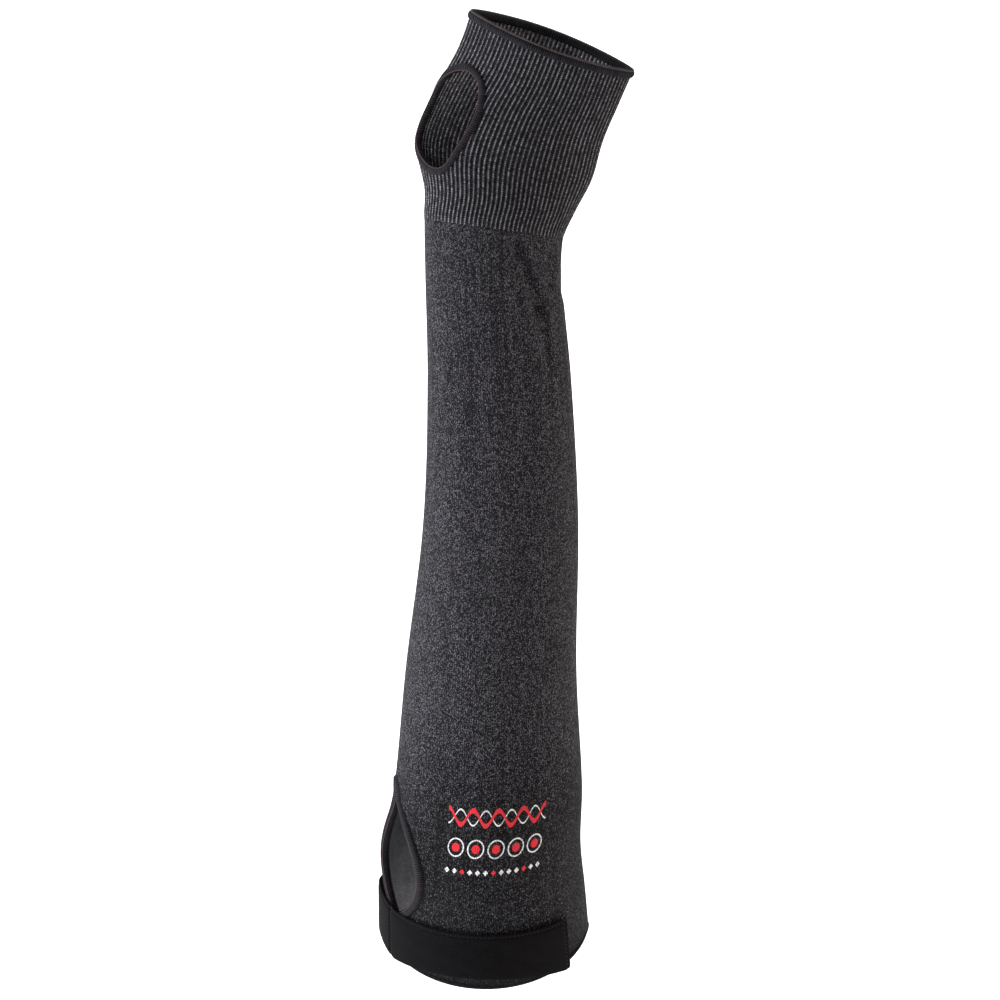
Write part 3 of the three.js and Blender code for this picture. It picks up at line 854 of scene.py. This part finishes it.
class SLEEVE_OT_make_body(bpy.types.Operator):
    """Make the jersey body with its slit"""

    bl_idname = "sleeve.make_body"
    bl_label = "Make the body"

    def execute(self, context):
        size = sizes()
        sleeve = Sleeve()
        low = size.hem_edge_width / 2
        high = size.body_length

        def place(across, along):
            distance = blend_between(low, high, along)
            share = across + 0.5
            points = sleeve.points(distance, share, soft_streaks(distance, share))
            arc = (share - 1) * sleeve.girths(distance)
            return points, np.stack([arc / size.wale_pitch, distance / size.course_pitch], axis=-1)

        def in_slit(across, along):
            distance = blend_between(low, high, along)
            forward = ((across + 0.75) % 1.0) * sleeve.girths(distance)
            half_open = slit_half_open(np.minimum(distance, size.slit_height))
            return (np.abs(forward - slit_middle(distance)) < half_open) & (distance < size.slit_height)

        mesh = grid_mesh("jersey_body", *BODY_GRID, place, wrap_columns=True, drop=in_slit)
        piece = new_piece(mesh, jersey_material(), "jersey_knit", "sleeve_body")
        wall_modifier(piece, size.jersey_wall, jersey_inside_material())
        return {"FINISHED"}


class SLEEVE_OT_make_cuff(bpy.types.Operator):
    """Make the rib knit cuff with its thumb hole"""

    bl_idname = "sleeve.make_cuff"
    bl_label = "Make the cuff"

    def execute(self, context):
        size = sizes()
        sleeve = Sleeve()
        low = size.body_length
        high = sleeve_length() - size.binding_width / 2
        ribs = round(sleeve.girth(low) / size.rib_pitch)

        def way_up(along):
            """The outer face goes up and the inner face comes down again."""
            return 1 - np.abs(2 * along - 1)

        def place(across, along):
            up = way_up(along)
            distance = blend_between(low, high, up)
            wave = 0.5 + 0.5 * np.cos(across * ribs * tau)
            fade = np.clip(up / 0.04, 0.35, 1)
            outer = size.rib_relief * fade * (wave**0.7 - 0.5)
            inner = size.rib_relief * 0.5 * (wave - 0.5) - size.rib_wall
            within = along > 0.5
            points = sleeve.points(distance, across, np.where(within & (along < 1), inner, outer))
            column = across * ribs + within * INNER_COLUMNS
            return points, np.stack([column, distance / size.rib_course], axis=-1)

        def in_thumb_hole(across, along):
            distance = blend_between(low, high, way_up(along))
            forward = ((across + 0.75) % 1.0 - 0.5) * sleeve.girths(distance)
            aside = (forward - size.thumb_forward) / (size.thumb_width / 2)
            up = (distance - sleeve_length() + size.thumb_below_rim) / (size.thumb_length / 2)
            return aside**2 + up**2 < 1

        mesh = grid_mesh(
            "rib_knit_cuff", ribs * RIB_STEPS, CUFF_ROWS, place,
            wrap_columns=True, wrap_rows=True, drop=in_thumb_hole,
        )
        colour = colours()
        # The inner face's colours are raised 3.2 and 1.8 times over the outer rib's: partly a lighter inner
        # yarn, partly painted light for the light that hardly reaches inside the cuff.
        inner_yarn_and_painted_light = tuple(min(channel, 1) for channel in scaled(colour.rib_light, 3.2))
        outside = rib_material("rib_knit", colour.rib_light, scaled(colour.knit_dark, 0.75), 1.0)
        inside = rib_material("rib_inside", inner_yarn_and_painted_light, scaled(colour.knit_dark, 1.8), 12.0)
        new_piece(mesh, outside, "rib_knit", "rib_cuff")
        mesh.materials.append(inside)
        pattern = mesh.uv_layers["pattern"].data
        for face in mesh.polygons:
            face.material_index = int(pattern[face.loop_start].uv.x > INNER_COLUMNS / 2)
        return {"FINISHED"}


def route_frames(sleeve, places, lift, closed):
    """Points of a line of shares and distances, with the ways out of the knit and across the line."""
    share, distance = places.T
    points = sleeve.points(distance, share, lift)
    out = sleeve.points(distance, share, lift + 0.001) - points
    if closed:
        way = np.roll(points, -1, axis=0) - np.roll(points, 1, axis=0)
    else:
        way = np.gradient(points, axis=0)
    way = unit(way)
    out = unit(out - np.sum(out * way, axis=1, keepdims=True) * way)
    return points, out, np.cross(way, out)


def band_mesh(name, frames, closed, half_across, half_thick, sides, wraps, relief, slant, shift=(0.0, 0.0)):
    """A rounded band along a route, with thread wraps as ridges. Shift moves it across and out."""
    points, out, across = frames
    count = len(points)
    rows = count if closed else count - 1

    def place(turned, along):
        i = np.round(along * rows).astype(int) % count
        turn = turned * tau
        thread = np.cos(tau * (along * wraps + slant * turned))
        swell = 1 + relief * thread
        flat_x = np.sign(np.cos(turn)) * np.abs(np.cos(turn)) ** 0.85
        aside = half_across * flat_x * swell + shift[0]
        proud = half_thick * np.sin(turn) * swell + shift[1]
        where = points[i] + across[i] * aside[:, None] + out[i] * proud[:, None]
        return where, np.stack([along * wraps, turned], axis=-1)

    mesh = grid_mesh(name, sides, rows, place, wrap_columns=True, wrap_rows=closed)
    close_ends(mesh)
    return mesh


def close_ends(mesh):
    """Closes the open ends of a band and turns its faces out."""
    shape = bmesh.new()
    shape.from_mesh(mesh)
    bmesh.ops.holes_fill(shape, edges=[edge for edge in shape.edges if edge.is_boundary], sides=0)
    bmesh.ops.recalc_face_normals(shape, faces=shape.faces)
    shape.to_mesh(mesh)
    shape.free()


def make_binding(sleeve, paints, name, node, line, closed, wall, plump, side):
    """A binding along a line of shares and distances, with its seam thread at the opening's side.

    Paints are the binding's and the thread's. Plump scales its width and thickness.
    """
    size = sizes()
    frames = route_frames(sleeve, line, -wall / 2, closed)
    length = np.linalg.norm(np.diff(frames[0], axis=0), axis=1).sum()
    wraps = round(length / size.thread_pitch)
    half_across = size.binding_width / 2 * plump[0]
    half_thick = size.binding_thickness / 2 * plump[1]
    mesh = band_mesh(name, frames, closed, half_across, half_thick, BAND_SIDES, wraps, 0.09, 1)
    new_piece(mesh, paints[0], "binding", node)
    mesh = band_mesh(
        name + "_seam", frames, closed, 0.0003, 0.0003, SEAM_SIDES, wraps, 0.25, 0,
        shift=(side * half_across * 0.8, half_thick * 0.66),
    )
    new_piece(mesh, paints[1], "binding")


class SLEEVE_OT_make_bindings(bpy.types.Operator):
    """Make the overlocked bindings of the hand rim, thumb hole, slit and hem"""

    bl_idname = "sleeve.make_bindings"
    bl_label = "Make the bindings"

    def execute(self, context):
        size = sizes()
        sleeve = Sleeve()
        step = size.thread_pitch / 4
        paints = (binding_material("binding", 1.0), seam_material())

        def on_sleeve(line, closed):
            line = evenly_spaced(line, step, closed)
            return np.stack([sleeve.share_forward(line[:, 1], line[:, 0]), line[:, 1]], axis=-1)

        half = size.binding_width / 2
        rim = sleeve_length() - half
        count = int(sleeve.girth(rim) / step)
        hand = level_line(rim, np.linspace(0, 1, count, endpoint=False))
        thumb = on_sleeve(thumb_line(200), True)
        slit = on_sleeve(slit_line(241), False)
        for row in (
            ("hand_rim", "hand_binding", hand, True, size.rib_wall, (1.04, 1.14), -1),
            ("thumb_rim", "thumb_binding", thumb, True, size.rib_wall, (0.9, 1.0), 1),
            ("slit_rim", "slit_binding", slit, False, size.jersey_wall, (1.04, 1.16), 1),
        ):
            make_binding(sleeve, paints, *row)
        clear = slit_half_open(np.array(0.0)) + half + size.layer_gap
        height = size.hem_edge_width / 2
        first = sleeve.share_forward(height, size.slit_forward + clear)
        last = sleeve.share_forward(height, size.slit_forward - clear) + 1
        count = int(sleeve.girth(height) / step)
        hem = level_line(height, np.linspace(first, last, count))
        frames = route_frames(sleeve, hem, -size.jersey_wall / 2, False)
        wraps = round(sleeve.girth(height) / size.thread_pitch)
        half_thick = size.hem_edge_thickness / 2
        mesh = band_mesh("hem_rim", frames, False, height, half_thick, HEM_SIDES, wraps, 0.07, 2)
        # The hem's overlock is the binding paint darkened by half, as painted shade at the bottom of the
        # sleeve.
        new_piece(mesh, binding_material("hem_overlock_painted_shade", 0.5), "binding", "hem_binding")
        return {"FINISHED"}


def strap_edges(share):
    """The strap's lower and upper edge along the arm, at shares of the girth."""
    size = sizes()
    away = np.minimum(np.abs(share - 0.985) / 0.15, 1) ** 2
    low = size.strap_rise + size.hem_edge_width
    return low - size.strap_end_drop * away, low + size.strap_width - size.strap_top_drop * away


def band_sheet(name, sleeve, first, last, edges, lift, thickness, grid, relief=None):
    """A thin closed band that lies round the arm, with rounded edges."""
    girth = sleeve.girth(sizes().strap_width)

    def place(across, along):
        share = blend_between(first, last, across)
        low, high = edges(share)
        turn = along * tau
        up = 0.5 - 0.5 * np.cos(turn)
        level = blend_between(low, high, up)
        swell = np.clip(1 - (2 * up - 1) ** 12, 0, 1) ** 0.5
        side = np.sign(np.sin(turn))
        height = lift + thickness / 2 * (1 + side * swell)
        if relief is not None:
            height = height + relief((share - first) * girth, up) * (side > 0)
        points = sleeve.points(level, share, height)
        return points, np.stack([(share - first) * girth, up * sizes().strap_width], axis=-1)

    mesh = grid_mesh(name, *grid, place, wrap_rows=True)
    close_ends(mesh)
    return mesh


class SLEEVE_OT_make_strap(bpy.types.Operator):
    """Make the adjusting strap and its hook tape"""

    bl_idname = "sleeve.make_strap"
    bl_label = "Make the strap"

    def execute(self, context):
        size = sizes()
        sleeve = Sleeve()
        middle = size.strap_rise + size.hem_edge_width + size.strap_width / 2
        girth = sleeve.girth(middle)
        first = float(sleeve.share_forward(middle, size.slit_forward - size.strap_back))
        last = float(sleeve.share_forward(middle, size.slit_forward + size.strap_front))
        proud = size.binding_thickness / 2 - size.jersey_wall / 2 + size.layer_gap
        lift = max(proud, size.tape_thickness + 2 * size.layer_gap)
        seam = size.strap_back + SEAM_FORWARD
        length = size.strap_back + size.strap_front

        def relief(arc, up):
            down = (1 - up) * size.strap_width
            edge_line = np.exp(-(((down - EDGE_INSET) / 0.0006) ** 2))
            end_line = np.exp(-(((length - arc - END_INSET) / 0.0005) ** 2))
            seam_line = np.exp(-(((arc - seam) / 0.0006) ** 2))
            behind = (arc < seam) * 0.0003
            front = np.clip((arc - seam) / 0.01, 0, 1) * np.sin(pi * up)
            wrinkle = np.sin(arc * 170 - down * 420 + 2 * np.sin(arc * 45)) * front
            return behind - 0.0005 * edge_line - 0.0004 * end_line - 0.0007 * seam_line + 0.00013 * wrinkle

        mesh = band_sheet(
            "strap_band", sleeve, first, last, strap_edges, lift, size.strap_thickness, STRAP_GRID, relief
        )
        new_piece(mesh, strap_material(), "strap_elastic", "strap")

        def tape_edges(share):
            low, high = strap_edges(share)
            low = np.maximum(low + TAPE_INSET, size.hem_edge_width + size.layer_gap)
            return low, high - TAPE_INSET

        end = last + TAPE_PAST / girth
        start = end - size.tape_length / girth
        mesh = band_sheet(
            "hook_strip", sleeve, start, end, tape_edges, size.layer_gap, size.tape_thickness, TAPE_GRID
        )
        new_piece(mesh, hook_material(), "hook_nylon", "hook_tape")
        return {"FINISHED"}


def area_light(name, place, target, width, height, power, tint):
    data = bpy.data.lights.new(name, "AREA")
    data.shape = "RECTANGLE"
    data.size = width
    data.size_y = height
    data.energy = power
    data.color = tint
    light = linked_object(name, data)
    light.location = place
    light.rotation_euler = (Vector(target) - Vector(place)).to_track_quat("-Z", "Y").to_euler()


class SLEEVE_OT_make_stage(bpy.types.Operator):
    """Make the floor, the lights and the camera"""

    bl_idname = "sleeve.make_stage"
    bl_label = "Make the stage"

    def execute(self, context):
        scene = context.scene
        scene.view_settings.view_transform = "Standard"
        scene.view_settings.look = "None"
        shape = bmesh.new()
        bmesh.ops.create_grid(shape, x_segments=1, y_segments=1, size=40)
        bmesh.ops.translate(shape, verts=shape.verts, vec=(0, 0, CAD_BOX[0][2] - STAGE_DROP))
        mesh = bpy.data.meshes.new("studio_floor")
        shape.to_mesh(mesh)
        shape.free()
        paint = Paint("studio_floor", Roughness=0.9)
        cloud = paint.noise(paint.node("ShaderNodeTexCoord", {}, output=3), scale=0.7)
        base = colours().floor
        paint.finish(Base_Color=paint.mix(cloud, scaled(base, 0.99), base))
        mesh.materials.append(paint.material)
        floor = linked_object("studio_floor", mesh)

        world = bpy.data.worlds.new("studio")
        world.use_nodes = True
        background = world.node_tree.nodes["Background"]
        background.inputs["Color"].default_value = (1, 1, 1, 1)
        background.inputs["Strength"].default_value = WORLD_STRENGTH
        scene.world = world
        for light in LIGHTS:
            area_light(*light)

        camera_data = bpy.data.cameras.new("studio_camera")
        camera_data.sensor_width = 36
        camera_data.lens = CAMERA_DISTANCE / (PICTURE_SIZE * METRES_PER_PIXEL) * camera_data.sensor_width
        camera_data.clip_end = 200
        camera = linked_object("studio_camera", camera_data)
        tilt = radians(CAMERA_ELEVATION)
        away = Vector((0, -cos(tilt), sin(tilt))) * CAMERA_DISTANCE
        camera.location = Vector(CAMERA_TARGET) + away
        camera.rotation_euler = (pi / 2 - tilt, 0, 0)
        scene.camera = camera
        return {"FINISHED"}


class SLEEVE_PT_panel(bpy.types.Panel):
    """The sleeve's steps and sizes"""

    bl_label = "Cut resistant sleeve"
    bl_idname = "SLEEVE_PT_panel"
    bl_space_type = "VIEW_3D"
    bl_region_type = "UI"
    bl_category = "Sleeve"

    def draw(self, context):
        for operator in OPERATORS:
            self.layout.operator(operator.bl_idname)
        for group in (context.scene.sleeve_sizes, context.scene.sleeve_colours):
            box = self.layout.box()
            for name in group.__annotations__:
                box.prop(group, name)


OPERATORS = (
    SLEEVE_OT_make_body,
    SLEEVE_OT_make_cuff,
    SLEEVE_OT_make_bindings,
    SLEEVE_OT_make_strap,
    SLEEVE_OT_make_stage,
)
CLASSES = (SleeveSizes, SleeveColours, *OPERATORS, SLEEVE_PT_panel)


def register():
    for cls in CLASSES:
        bpy.utils.register_class(cls)
    bpy.types.Scene.sleeve_sizes = PointerProperty(type=SleeveSizes)
    bpy.types.Scene.sleeve_colours = PointerProperty(type=SleeveColours)


def unregister():
    del bpy.types.Scene.sleeve_colours
    del bpy.types.Scene.sleeve_sizes
    for cls in reversed(CLASSES):
        bpy.utils.unregister_class(cls)


def main():
    register()
    bpy.ops.sleeve.make_body()
    bpy.ops.sleeve.make_cuff()
    bpy.ops.sleeve.make_bindings()
    bpy.ops.sleeve.make_strap()
    bpy.ops.sleeve.make_stage()


if __name__ == "__main__":
    main()
